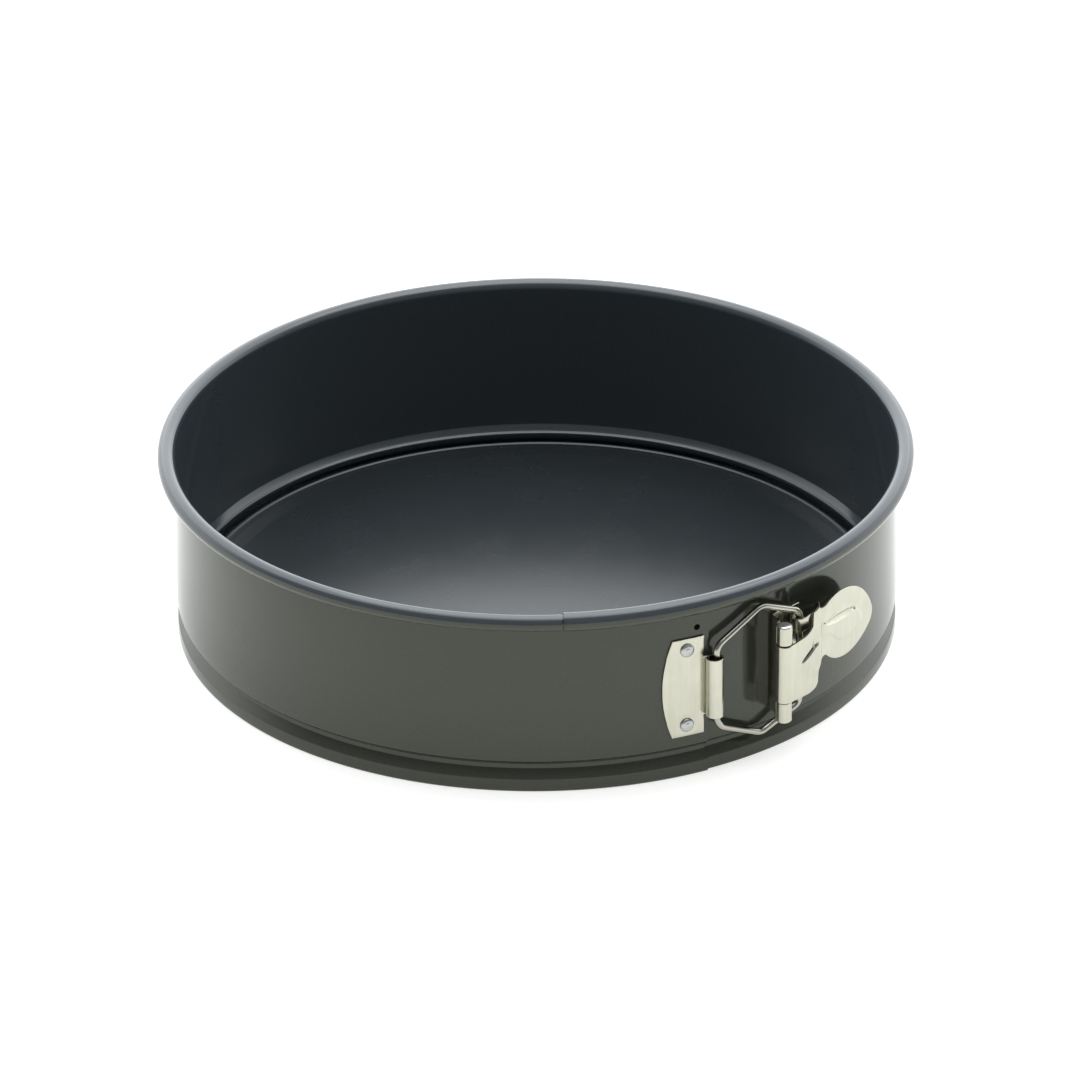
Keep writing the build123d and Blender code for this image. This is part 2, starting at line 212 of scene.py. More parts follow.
def arc(centre, radius, start, sweep, steps):
    """Points along an arc in a plane, from a start angle through a sweep."""
    points = []
    for i in range(steps + 1):
        a = math.radians(start + sweep * i / steps)
        points.append((centre[0] + radius * math.cos(a), centre[1] + radius * math.sin(a)))
    return points


def rounded(points, radii, steps=5):
    """Round the inner corners of an open line, with one radius for all or one for each."""
    if isinstance(radii, float):
        radii = [radii] * (len(points) - 2)
    result = [points[0]]
    for before, corner, after, radius in zip(points, points[1:], points[2:], radii):
        c = Vector(corner)
        to_before = (Vector(before) - c).normalized()
        to_after = (Vector(after) - c).normalized()
        half = to_before.angle(to_after) / 2
        reach = radius / math.tan(half)
        middle = c + (to_before + to_after).normalized() * (radius / math.sin(half))
        first = c + to_before * reach - middle
        turn = first.angle_signed(c + to_after * reach - middle)
        for i in range(steps + 1):
            step = first.copy()
            step.rotate(Matrix.Rotation(-turn * i / steps, 2))
            result.append(tuple(middle + step))
    result.append(points[-1])
    return result


def sheet_loop(line, thickness):
    """The closed outline of a sheet: the line of one face, then back along the other's."""
    other = []
    for i, point in enumerate(line):
        before = Vector(line[max(i - 1, 0)])
        after = Vector(line[min(i + 1, len(line) - 1)])
        along = (after - before).normalized()
        # a positive thickness lies to the right of the line
        other.append((point[0] + along.y * thickness, point[1] - along.x * thickness))
    return list(line) + other[::-1]


def steps_between(start, end, count):
    return [start + (end - start) * i / count for i in range(count + 1)]


# ---------------------------------------------------------------- band
def band_loop(inner_radius, curl_radius, with_lip):
    """The closed outline of the band's sheet, as radius and height; the inside comes first."""
    lip = LIP_WIDTH if with_lip else LAP_LIP_WIDTH
    corners = [(inner_radius - lip, SHEET), (inner_radius, SHEET)]
    corners += [(inner_radius - depth, height) for depth, height, _ in GROOVE]
    corners.append((inner_radius, RIM_CENTRE_HEIGHT))
    wall = rounded(corners, [LIP_BEND] + [radius for _, _, radius in GROOVE])
    top = GROOVE[-1][1]
    climb = [(inner_radius, top + (RIM_CENTRE_HEIGHT - top) * i / 8) for i in range(1, 8)]
    curl = arc((inner_radius + curl_radius, RIM_CENTRE_HEIGHT), curl_radius, 180, -RIM_WRAP, 48)
    return sheet_loop(wall[:-1] + climb + curl, SHEET)


def band_part(name, start, end, centre_y, radius, curl_at, coats, with_lip=True, steps=180):
    """A stretch of the band, whose curl may change in size along it.

    coats are the outside's and the inside's materials. The inside's goes over the top of the curl.
    """
    loops = []
    for i in range(steps + 1):
        angle = start + (end - start) * i / steps
        outline = band_loop(radius, curl_at(angle), with_lip)
        loops.append([around(angle, r, z, centre_y) for r, z in outline])
    curl_edge = radius + 1.98 * curl_at(end)
    inner_count = next(i for i, (r, _) in enumerate(outline) if r > curl_edge)
    band = loft(name, loops)
    for coat in coats:
        band.data.materials.append(coat)
    for face in band.data.polygons[:steps * len(outline)]:
        if face.index % len(outline) < inner_count:
            face.material_index = 1
    return band


def make_band(coats):
    """The right half, the left half and the lap, which the latch draws over the right half."""
    def right_curl(angle):
        return RIM_RADIUS + RIGHT_OPENING * ease((RIGHT_CHANGE_ANGLE - angle) / RIM_CHANGE)

    def left_curl(angle):
        return RIM_RADIUS - LEFT_TIGHTENING * ease((angle - LEFT_CHANGE_ANGLE) / RIM_CHANGE)

    shoulder = 360 + INNER_TIP_ANGLE - LAP_HEAD_START
    outer_radius = INSIDE_RADIUS + LAYER_OFFSET
    right = band_part("band_right", INNER_TIP_ANGLE, 180, 0.0, INSIDE_RADIUS, right_curl, coats)
    left = band_part("band_left", 180, shoulder, -LAYER_OFFSET, outer_radius, left_curl, coats)
    lap = band_part(
        "band_lap", shoulder, 360 + OUTER_TIP_ANGLE, -LAYER_OFFSET, outer_radius,
        lambda angle: NESTED_RIM_RADIUS, coats, with_lip=False, steps=40,
    )
    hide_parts("band")
    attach(right, "ring")
    for piece in (left, lap):
        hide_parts("band")
        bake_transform(piece)


# ---------------------------------------------------------------- base
def make_base(finish):
    """The pressed disc, turned from its section, with a flat middle on both faces."""
    low = BASE_HEIGHT
    high = low + BASE_STEP_HEIGHT
    flange = SHEET + BASE_SHEET
    corners = [
        (BASE_FLAT_RADIUS, low),
        (BASE_STEP_RADIUS - BASE_STEP_HALF_WIDTH, low),
        (BASE_STEP_RADIUS + BASE_STEP_HALF_WIDTH, high),
        (BASE_RIM_RADIUS - BASE_RIM_SLOPE, high),
        (BASE_RIM_RADIUS, high + BASE_RIM_RISE),
        (BASE_BROW_RADIUS, high + BASE_RIM_RISE),
        (BASE_DROP_RADIUS, flange),
        (BASE_EDGE_RADIUS, flange),
    ]
    outline = sheet_loop(rounded(corners, BASE_BENDS), BASE_SHEET)
    steps = 240
    loops = []
    for i in range(steps):
        loops.append([around(360 * i / steps, r, z) for r, z in outline])
    count = len(outline)
    vertices = [point for loop in loops for point in loop]
    faces = []
    for row in range(steps):
        here = row * count
        there = (row + 1) % steps * count
        for i in range(count - 1):
            faces.append((here + i, here + i + 1, there + i + 1, there + i))
    faces.append(tuple(row * count for row in reversed(range(steps))))
    faces.append(tuple(row * count + count - 1 for row in range(steps)))
    disc = add_object("base_disc", vertices, faces)
    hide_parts("base")
    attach(disc, "ring")
    dress(disc, finish)


# ---------------------------------------------------------------- sheet and wire for the latch
def pressed_sheet(name, stations, low, high, surface, thickness, rows, place, edge=0.14):
    """A pressed sheet with rounded edges, made of upright columns between two outlines.

    low and high give a column's ends at a station along the sheet. surface gives a front point and
    its outward normal, at a station and a height.
    """
    count = rows + 1
    front = []
    back = []
    last = len(stations) - 1
    for i, s in enumerate(stations):
        for j in range(count):
            height = low(s) + (high(s) - low(s)) * j / rows
            point, normal = surface(s, height)
            depth = edge if i in (0, last) or j in (0, rows) else 0.0
            front.append(tuple(point - normal * depth))
            back.append(tuple(point - normal * (thickness - depth)))
    vertices = [place(point) for point in front + back]
    half = len(front)
    faces = []
    for i in range(last):
        for j in range(rows):
            a = i * count + j
            b = a + count
            faces.append((a, b, b + 1, a + 1))
            faces.append((half + a, half + a + 1, half + b + 1, half + b))
    border = list(range(count))
    border += [i * count + rows for i in range(1, last + 1)]
    border += [last * count + j for j in reversed(range(rows))]
    border += [i * count for i in reversed(range(1, last))]
    for first, second in zip(border, border[1:] + border[:1]):
        faces.append((first, second, half + second, half + first))
    return add_object(name, vertices, faces, smooth_angle=32.0)


def upright_strip(name, line, thickness, bottom, top, place, edge=0.15):
    """An upright sheet bent along a plan line, with its lower and upper edges rounded off."""
    inset = math.copysign(edge, thickness)
    wide = sheet_loop(line, thickness)
    narrow = sheet_loop(offset_line(line, inset), thickness - 2 * inset)
    levels = ((narrow, bottom), (wide, bottom + edge), (wide, top - edge), (narrow, top))
    loops = []
    for outline, height in levels:
        loops.append([place((x, y, height)) for x, y in outline])
    return loft(name, loops)


def offset_line(line, distance):
    """The same line moved to its right."""
    count = len(line)
    return sheet_loop(line, distance)[count:][::-1]


def wire_loop(name, centres, radius, place, sides=20):
    """A closed round wire along points that lie in the local XZ plane."""
    loops = []
    count = len(centres)
    depth = Vector((0, 1, 0))
    for i, centre in enumerate(centres):
        along = (Vector(centres[(i + 1) % count]) - Vector(centres[i - 1])).normalized()
        across = Vector((along.z, 0, -along.x))
        ring = []
        for k in range(sides):
            a = 2 * math.pi * k / sides
            out = across * math.cos(a) + depth * math.sin(a)
            ring.append(place(tuple(Vector(centre) + radius * out)))
        loops.append(ring)
    return loft(name, loops, closed=True)


def lathe(name, profile, place, sides=40):
    """Turn a profile of radius and rise about the local Z axis; its ends lie on the axis."""
    vertices = [place((0, 0, profile[0][1]))]
    for radius, rise in profile[1:-1]:
        for k in range(sides):
            a = 2 * math.pi * k / sides
            vertices.append(place((radius * math.cos(a), radius * math.sin(a), rise)))
    vertices.append(place((0, 0, profile[-1][1])))
    rings = len(profile) - 2
    faces = []
    for k in range(sides):
        n = (k + 1) % sides
        faces.append((0, 1 + n, 1 + k))
        for row in range(rings - 1):
            a = 1 + row * sides
            faces.append((a + k, a + n, a + sides + n, a + sides + k))
        a = 1 + (rings - 1) * sides
        faces.append((a + k, a + n, len(vertices) - 1))
    return add_object(name, vertices, faces, smooth_angle=50.0)


def make_hole_shade():
    """The small locating hole beside the plate: its mouth is a flat disc of painted shade inside
    the burr left by its punch, and the burr wears the same painted shade.
    """
    def place(point):
        front = (point[0], -OUTER_WALL - point[2], HOLE_HEIGHT + point[1])
        return swung(front, HOLE_ANGLE, -LAYER_OFFSET)

    return lathe("band_hole_shade", HOLE_PROFILE, place, sides=24)


# ---------------------------------------------------------------- latch plate and rivets
def make_latch_plate():
    """The riveted plate and the sleeve rolled round the bail's near leg."""
    half = PLATE_HEIGHT / 2
    bow_radius = (half**2 + PLATE_BOW**2) / (2 * PLATE_BOW)
    left = -PLATE_LEFT - PLATE_BOW

    def reach(x):
        """Half the plate's height at a station: less beyond the left corners, where it bows."""
        if x >= -PLATE_LEFT:
            return half
        inset = bow_radius - (x - left)
        return math.sqrt(max(bow_radius**2 - inset**2, 0.04))

    def surface(x, height):
        """The plate's face follows the wall, and is set down a little round each rivet."""
        a = x / (OUTER_WALL + HARDWARE)
        normal = Vector((math.sin(a), -math.cos(a), 0))
        dish = 0.0
        for centre in (LATCH_HEIGHT - RIVET_PITCH / 2, LATCH_HEIGHT + RIVET_PITCH / 2):
            beyond_head = math.hypot(x, height - centre) - RIVET_RADIUS
            dish += 0.12 * bell((beyond_head - 0.3) / 0.7)
        point = normal * (OUTER_WALL + HARDWARE - dish)
        point.z = height
        return point, normal

    def place(point):
        return swung(point, PLATE_ANGLE, -LAYER_OFFSET)

    stations = [left + PLATE_BOW * (i / 16) ** 2 for i in range(1, 17)]
    stations += steps_between(-PLATE_LEFT, PLATE_RIGHT, 26)[1:]
    plate = pressed_sheet(
        "latch_plate_sheet", stations,
        lambda x: LATCH_HEIGHT - reach(x), lambda x: LATCH_HEIGHT + reach(x),
        surface, HARDWARE, rows=72, place=place,
    )

    plate_edge = front_point(PLATE_ANGLE, OUTER_WALL, SLEEVE_ANGLE).x + PLATE_RIGHT
    neck_y = -OUTER_WALL - 0.02
    neck = [(plate_edge - 0.9, neck_y), (-0.4, neck_y)]
    curl = arc((0.0, -OUTER_WALL - SLEEVE_RADIUS), SLEEVE_RADIUS, 88, -325, 60)
    sleeve = upright_strip("latch_sleeve", neck + curl, HARDWARE, *SLEEVE_HEIGHTS, place_at_sleeve)
    return [plate, sleeve]


def place_at_sleeve(point):
    return swung(point, SLEEVE_ANGLE, -LAYER_OFFSET)


def rivet_profile():
    """A low dome with a ring that the setting tool pressed round its middle."""
    flatness = 0.93
    ring_radius = 1.25
    ring_depth = 0.1
    ring_width = 0.22
    profile = [(0.0, RIVET_RISE)]
    for i in range(1, 15):
        r = RIVET_RADIUS * i / 15
        rise = RIVET_RISE * math.sqrt(1 - (r / RIVET_RADIUS) ** 2 * flatness)
        profile.append((r, rise - ring_depth * bell((r - ring_radius) / ring_width)))
    return profile + [(RIVET_RADIUS, RIVET_RIM_RISE), (RIVET_RADIUS - 0.06, 0.0), (0.0, 0.0)]


def make_rivet(name, angle, height, face_radius, centre_y=0.0):
    """A rivet's head on a face that stands at face_radius."""
    def place(point):
        return swung((point[0], -face_radius - point[2], height + point[1]), angle, centre_y)

    return lathe(name, rivet_profile(), place)


# ---------------------------------------------------------------- bail
def make_bail():
    """The wire loop between the sleeve and the lever's ears, drawn from its near leg."""
    near = Vector(around(SLEEVE_ANGLE, OUTER_WALL + SLEEVE_RADIUS, 0.0, -LAYER_OFFSET))
    far = Vector(around(BAIL_ANGLE, BAIL_CIRCLE, 0.0))
    chord = far - near
    span = chord.length - BAIL_SHIFT
    heading = math.atan2(chord.y, chord.x)
    corners = [
        (0, 19.4), (0, 51.0), (BAIL_KNEE, 61.4), (span, 54.3), (span, 17.5), (BAIL_KNEE, 10.7),
    ]
    radii = (6.0, 4.6, 4.6, 4.2, 3.0, 4.6)
    centres = []
    for i, (corner, radius) in enumerate(zip(corners, radii)):
        before = Vector(corners[i - 1])
        after = Vector(corners[(i + 1) % len(corners)])
        middle_before = (before + Vector(corner)) / 2
        middle_after = (after + Vector(corner)) / 2
        bend = rounded([tuple(middle_before), corner, tuple(middle_after)], radius, 12)
        centres += bend[:-1]

    def place(point):
        x = point[0] + BAIL_SHIFT
        return (
            near.x + x * math.cos(heading) - point[1] * math.sin(heading),
            near.y + x * math.sin(heading) + point[1] * math.cos(heading),
            point[2],
        )

    return wire_loop("bail_wire", [(x, 0, z) for x, z in centres], WIRE_RADIUS, place)


# ---------------------------------------------------------------- bracket and pin
def place_at_pin(point):
    return swung(point, PIN_ANGLE)


def make_bracket():
    """The foot on the wall, bent up into the web, and the web's two knuckles round the pin."""
    t = BRACKET_SHEET
    pin_y = -PIN_CIRCLE
    bottom, top = BRACKET_HEIGHTS
    foot_x = -KNUCKLE_RADIUS + BRACKET_LEAN

    foot = []
    for x in steps_between(foot_x + BRACKET_FOOT, foot_x + 2.0, 14):
        a = x / INNER_WALL
        foot.append((INNER_WALL * math.sin(a), -INNER_WALL * math.cos(a)))
    web_end = (WEB_END[0], pin_y + WEB_END[1])
    root = (foot_x + t, -INNER_WALL)
    sheet = foot[:-1] + rounded([foot[-1], root, web_end], 0.5, 5)
    bracket = upright_strip("bracket_sheet", sheet, -t, bottom, top, place_at_pin)

    roll = arc((0.0, pin_y), KNUCKLE_RADIUS, 180, 325, 48)
    line = [(web_end[0] - t, web_end[1]), (-KNUCKLE_RADIUS, pin_y + 0.6)] + roll
    lower = upright_strip(
        "bracket_knuckle_lower", line, -t, bottom, KNUCKLE_LOW - KNUCKLE_GAP, place_at_pin,
    )
    upper = upright_strip(
        "bracket_knuckle_upper", line, -t, KNUCKLE_HIGH + KNUCKLE_GAP, top, place_at_pin,
    )
    return [bracket, lower, upper]


def make_pin():
    """The hinge pin, peened over into a dome at each end of the column."""
    bottom, top = BRACKET_HEIGHTS
    middle = (bottom + top) / 2
    half = (top - bottom) / 2

    def place(point):
        return place_at_pin((point[0], -PIN_CIRCLE + point[1], middle + point[2]))

    dome = [(0.0, half + PIN_HEAD_RISE)]
    for i in range(1, 11):
        a = math.radians(90 - 80 * i / 10)
        hammer_dent = 0.05 * math.sin(7.0 * i)
        rise = (PIN_HEAD_RISE - hammer_dent) * math.sin(a)
        dome.append((PIN_HEAD_RADIUS * math.cos(a), half + rise))
    upper = dome + [(PIN_HEAD_RADIUS, half + 0.02), (PIN_RADIUS, half - 0.1)]
    lower = [(radius, -rise) for radius, rise in reversed(upper)]
    return lathe("hinge_pin_peened", upper + lower, place)


# ---------------------------------------------------------------- lever
def smooth_line(points):
    """A function of x that runs smoothly through a few points."""
    def slope(i):
        before = points[max(i - 1, 0)]
        after = points[min(i + 1, len(points) - 1)]
        return (after[1] - before[1]) / (after[0] - before[0])

    def value(x):
        i = 0
        while i < len(points) - 2 and x > points[i + 1][0]:
            i += 1
        (x0, z0), (x1, z1) = points[i], points[i + 1]
        width = x1 - x0
        t = min(max((x - x0) / width, 0.0), 1.0)
        return (
            z0 * (2 * t**3 - 3 * t**2 + 1) + width * slope(i) * (t**3 - 2 * t**2 + t)
            + z1 * (3 * t**2 - 2 * t**3) + width * slope(i + 1) * (t**3 - t**2)
        )

    return value


def arc_centre(start, end, radius):
    """The centre of an arc that bulges to the left of the way from start to end."""
    way = Vector(end) - Vector(start)
    drop = math.sqrt(radius**2 - (way.length / 2) ** 2)
    return (Vector(start) + Vector(end)) / 2 + Vector((way.y, -way.x)).normalized() * drop


class Paddle:
    """The paddle's outline: an upper and a lower arc, joined by a round tip."""

    neck_top = (17.6, 53.3)
    neck_bottom = (21.6, 35.0)
    tip = (52.5, 37.2)
    upper_radius = 24.0
    lower_radius = 20.0
    tip_radius = 6.0

    def __init__(self):
        self.upper_centre = arc_centre(self.neck_top, self.tip, self.upper_radius)
        self.lower_centre = arc_centre(self.tip, self.neck_bottom, self.lower_radius)
        first = self.upper_radius - self.tip_radius
        second = self.lower_radius - self.tip_radius
        way = self.lower_centre - self.upper_centre
        along = (way.length_squared + first**2 - second**2) / (2 * way.length)
        aside = math.sqrt(first**2 - along**2)
        unit = way.normalized()
        across = Vector((-unit.y, unit.x))
        if across.x < 0:
            across = -across
        self.tip_centre = self.upper_centre + unit * along + across * aside
        self.end_x = self.tip_centre.x + self.tip_radius
        self.upper_turn = self.touch(self.upper_centre)
        self.lower_turn = self.touch(self.lower_centre)

    def touch(self, centre):
        return (self.tip_centre + (self.tip_centre - centre).normalized() * self.tip_radius).x

    def edge(self, x, centre, radius, turn, side):
        if x > turn:
            centre, radius = self.tip_centre, self.tip_radius
        return centre.y + side * math.sqrt(max(radius**2 - (x - centre.x) ** 2, 0.0))

    def upper(self, x):
        return self.edge(x, self.upper_centre, self.upper_radius, self.upper_turn, 1)

    def lower(self, x):
        return self.edge(x, self.lower_centre, self.lower_radius, self.lower_turn, -1)


PADDLE = Paddle()
# the arm's and the crest's edges: distance to the right of the pin, and height
ARM_LOWER = smooth_line([
    (0.0, KNUCKLE_LOW), (4.0, 24.9), (8.6, 24.3), (12.3, 24.1), (15.2, 25.2), (16.8, 28.6),
    (18.2, 33.4), (19.6, 35.1), Paddle.neck_bottom,
])
ARM_UPPER = smooth_line([
    (0.0, KNUCKLE_HIGH), (5.0, 47.6), (9.0, 47.7), (11.4, 48.5), (13.4, 49.9),
])
CREST_START = 13.6
CREST_UPPER = smooth_line([
    (13.8, 55.3), (15.0, 55.9), (16.2, 56.9), (17.0, 58.3), (17.7, 57.0), (18.5, 55.0),
    (20.0, 54.4),
])
PADDLE_START = 20.0
PANEL_START = 21.0
PANEL_INSET = 6.4
SLIT_CENTRE = (11.45, 40.75)
SLIT_SLOPE = math.radians(27)
RIB_CENTRE = (30.9, 46.15)
RIB_SLOPE = -0.124


def lever_low(x):
    return ARM_LOWER(x) if x < Paddle.neck_bottom[0] else PADDLE.lower(x)


def lever_high(x):
    if x < CREST_START:
        return ARM_UPPER(x)
    return CREST_UPPER(x) if x < PADDLE_START else PADDLE.upper(x)


def leaf_place(x, z):
    """Along the slit and away from it, in the domed leaf's own directions."""
    dx, dz = x - SLIT_CENTRE[0], z - SLIT_CENTRE[1]
    cos, sin = math.cos(SLIT_SLOPE), math.sin(SLIT_SLOPE)
    return dx * cos + dz * sin, dx * sin - dz * cos


def leaf_relief(x, z):
    """The leaf stands proud along the slit and sinks back to a faint fold in the arm beyond it."""
    rise, half_length, depth = 0.8, 6.4, 9.0
    fold_rise, fold_at, fold_width = 0.3, 1.05, 0.09
    along, away = leaf_place(x, z)
    width = 1 - ((along + 0.5) / half_length) ** 2
    if width <= 0 or away < -0.4:
        return 0.0
    reach = away / (depth * math.sqrt(width))
    lip = ease((away + 0.3) / 1.3) * width
    fold = fold_rise * bell((reach - fold_at) / fold_width) if away > 1 else 0.0
    return rise * lip * max(1 - reach**2, 0.0) ** 0.9 + fold * width


def rib_relief(x, z):
    """The hollow pressed into the paddle, with a deeper pit at each end."""
    depth, half_length, half_width = 0.85, 9.8, 1.6
    pit_depth, pit_radius, pit_places = 0.3, 0.7, (-8.5, 8.5)
    along = x - RIB_CENTRE[0]
    across = z - RIB_CENTRE[1] - RIB_SLOPE * along
    taper = max(1 - (along / half_length) ** 2, 0.0) ** 0.5
    hollow = 0.0
    if taper > 0:
        hollow = depth * taper * max(1 - (across / (half_width * taper)) ** 2, 0.0)
    pits = sum(pit_depth * bell(math.hypot(along - at, across) / pit_radius) for at in pit_places)
    return -hollow - pits


def crest_relief(x, z):
    """The fold at the crest, between the arm and the paddle."""
    ridge = 0.8 * bell((x - 16.4) / 1.5)
    valley = 0.7 * bell((x - 19.2) / 1.3) * ease((z - 36) / 8)
    spike_lean = 0.022 * max(z - 48, 0.0) ** 2 * bell((x - 18.4) / 1.5)
    rolled_edge = 0.12 * max(x - 14, 0.0) ** 2 * ease((36 - z) / 8) * ease((21 - x) / 2.5)
    return ridge - valley - spike_lean - rolled_edge


def outline_distance(x, z, outline):
    return min(math.hypot(x - u, z - v) for u, v in outline)


def make_lever():
    """The pressed lever: a knuckle rolled round the pin, the arm, the crest and the paddle.

    It comes as the sheet, a dark leaf of painted shade in the slit's mouth, and the two ears.
    """
    crest = front_point(CREST_ANGLE, CREST_CIRCLE, PIN_ANGLE)
    end = front_point(PADDLE_END_ANGLE, PADDLE_END_CIRCLE, PIN_ANGLE)
    pin = (0.0, -PIN_CIRCLE)
    lean = math.degrees(math.atan2(crest.y - pin[1] + LEVER_ROLL, crest.x))
    roll = arc(pin, LEVER_ROLL, -28, 298 + lean, 60)
    line = roll + rounded([roll[-1], tuple(crest), tuple(end)], 2.2, 8)[1:]
    panel = []
    for x in steps_between(PANEL_START, PADDLE.end_x, 60):
        panel += [(x, PADDLE.upper(x)), (x, PADDLE.lower(x))]

    lengths = [0.0]
    for first, second in zip(line, line[1:]):
        lengths.append(lengths[-1] + (Vector(second) - Vector(first)).length)
    start = lengths[len(roll) - 1]

    def on_line(s):
        i = 0
        while i < len(lengths) - 2 and s > lengths[i + 1]:
            i += 1
        first, second = Vector(line[i]), Vector(line[i + 1])
        t = (s - lengths[i]) / (lengths[i + 1] - lengths[i])
        before = Vector(line[max(i - 1, 0)])
        after = Vector(line[min(i + 2, len(line) - 1)])
        along = (first - before).normalized().lerp((after - second).normalized(), t).normalized()
        return first.lerp(second, t), along

    def relief(x, z):
        if x < 4:
            return 0.0
        rise = leaf_relief(x, z) + crest_relief(x, z)
        if x > PADDLE_START:
            inset = outline_distance(x, z, panel)
            rise += rib_relief(x, z) + 0.3 * ease(inset - PANEL_INSET)
        return rise

    def surface(s, height):
        point, along = on_line(s)
        normal = Vector((along.y, -along.x, 0))
        front = Vector((point.x, point.y, height))
        if s > start:
            front += normal * relief(point.x, height)
        return front, normal

    def low(s):
        return KNUCKLE_LOW if s <= start else lever_low(on_line(s)[0].x)

    def high(s):
        return KNUCKLE_HIGH if s <= start else lever_high(on_line(s)[0].x)

    finish = start
    while on_line(finish)[0].x < PADDLE.end_x - 0.02 and finish < lengths[-1]:
        finish += 0.02
    tip_length = 6.0
    taper = finish - tip_length
    stations = steps_between(0.0, start, 56)
    stations += steps_between(start, taper, 200)[1:]
    stations += [taper + tip_length * math.sin(math.pi / 2 * i / 30) for i in range(1, 31)]
    sheet = pressed_sheet(
        "lever_sheet", stations, low, high, surface, LEVER_SHEET, rows=96, place=place_at_pin,
    )
    # a dark leaf of painted shade stands for the shadow in the slit
    slit = make_slit_shade(surface, on_line, start)
    lower = make_ear("lever_ear_lower", setback=3.6, bottoms=(26.0, 26.0), tops=(31.6, 31.6))
    upper = make_ear("lever_ear_upper", setback=1.2, bottoms=(49.4, 46.8), tops=(55.4, 52.0))
    return [sheet, slit, lower, upper]


def make_slit_shade(surface, on_line, start):
    """Painted shade for the slit: a narrow dark leaf that lies on the lever's face against the
    lip, where the slit's mouth is in shadow.
    """
    first, length, middle, half_width, lift = -5.3, 10.4, -0.12, 0.24, 0.035
    cos, sin = math.cos(SLIT_SLOPE), math.sin(SLIT_SLOPE)
    front = []
    count = 30
    for i in range(count + 1):
        along = first + length * i / count
        half = half_width * math.sin(math.pi * (i + 0.2) / (count + 0.4)) ** 0.7
        for away in (middle - half, middle, middle + half):
            x = SLIT_CENTRE[0] + along * cos + away * sin
            z = SLIT_CENTRE[1] + along * sin - away * cos
            s = start
            while on_line(s)[0].x < x:
                s += 0.02
            point, normal = surface(s, z)
            front.append(place_at_pin(tuple(point + normal * lift)))
    faces = []
    for i in range(count):
        for j in range(2):
            a = 3 * i + j
            faces.append((a, a + 3, a + 4, a + 1))
    return add_object("lever_slit_shade", front, faces)


def make_ear(name, setback, bottoms, tops):
    """A strip that runs back from the crest and hooks round the bail's far leg.

    setback is how far to the left of the crest it leaves the arm, and its bottom and top edges are
    given at the arm and at the leg.
    """
    clearance, sink, wrap = 0.5, 0.35, 150
    leg = front_point(BAIL_ANGLE, BAIL_CIRCLE, PIN_ANGLE)
    roll_radius = WIRE_RADIUS + clearance + LEVER_SHEET
    front_y = -PIN_CIRCLE - KNUCKLE_RADIUS
    crest = front_point(CREST_ANGLE, CREST_CIRCLE, PIN_ANGLE)
    slope = (crest.y - front_y) / crest.x
    start_x = crest.x - setback
    start = Vector((start_x, front_y + slope * start_x + sink))
    away = start - leg
    touch = math.degrees(math.atan2(away.y, away.x) - math.acos(roll_radius / away.length))
    hook = arc(tuple(leg), roll_radius, touch, -wrap, 20)
    straight = [tuple(start.lerp(Vector(hook[0]), i / 10)) for i in range(10)]
    line = [Vector(point) for point in straight + hook]

    def surface(s, height):
        point = line[s]
        along = line[min(s + 1, len(line) - 1)] - line[max(s - 1, 0)]
        normal = Vector((-along.y, along.x, 0)).normalized()
        return Vector((point.x, point.y, height)), normal

    def edge(heights):
        return lambda s: heights[0] + (heights[1] - heights[0]) * ease(s / 10)

    return pressed_sheet(
        name, range(len(line)), edge(bottoms), edge(tops), surface, LEVER_SHEET,
        rows=10, place=place_at_pin,
    )


# ---------------------------------------------------------------- materials
class Nodes:
    """A material's node tree, with short calls for the nodes used here."""

    def __init__(self, name):
        self.material = bpy.data.materials.new(name)
        self.material.use_nodes = True
        self.tree = self.material.node_tree
        self.shader = self.tree.nodes["Principled BSDF"]
        self.place = self.add("ShaderNodeTexCoord").outputs["Object"]

    def add(self, kind, **settings):
        node = self.tree.nodes.new(kind)
        for key, value in settings.items():
            setattr(node, key, value)
        return node

    def link(self, source, target):
        self.tree.links.new(source, target)

    def constant(self, socket, value):
        """A fixed number or colour on the shader's own socket."""
        self.shader.inputs[socket].default_value = value

    def scaled(self, x, y, z):
        node = self.add("ShaderNodeMapping")
        node.inputs["Scale"].default_value = (x, y, z)
        self.link(self.place, node.inputs["Vector"])
        return node.outputs["Vector"]

    def noise(self, scale, detail=3.0, vector=None):
        node = self.add("ShaderNodeTexNoise")
        node.inputs["Scale"].default_value = scale
        node.inputs["Detail"].default_value = detail
        self.link(vector or self.place, node.inputs["Vector"])
        return node.outputs["Fac"]

    def spread(self, value, low, high, from_low=0.0, from_high=1.0):
        """A value from one range, stretched and clamped to another."""
        node = self.add("ShaderNodeMapRange")
        node.inputs["From Min"].default_value = from_low
        node.inputs["From Max"].default_value = from_high
        node.inputs["To Min"].default_value = low
        node.inputs["To Max"].default_value = high
        self.link(value, node.inputs["Value"])
        return node.outputs["Result"]

    def mix(self, factor, first, second):
        """A blend of two colours, each a tuple or another node's output."""
        node = self.add("ShaderNodeMix", data_type="RGBA")
        self.link(factor, node.inputs["Factor"])
        # a Mix node in RGBA mode has its two colours at inputs 6 and 7, and its result at output 2
        for socket, value in ((node.inputs[6], first), (node.inputs[7], second)):
            if isinstance(value, tuple):
                socket.default_value = (*value, 1.0)
            else:
                self.link(value, socket)
        return node.outputs[2]

    def bump(self, height, distance):
        node = self.add("ShaderNodeBump")
        node.inputs["Distance"].default_value = distance
        self.link(height, node.inputs["Height"])
        return node.outputs["Normal"]

    def surface(self, colour, roughness, relief):
        """Link what drives the colour, the roughness and the normal to the shader."""
        self.link(colour, self.shader.inputs["Base Color"])
        self.link(roughness, self.shader.inputs["Roughness"])
        self.link(relief, self.shader.inputs["Normal"])
        return self.material


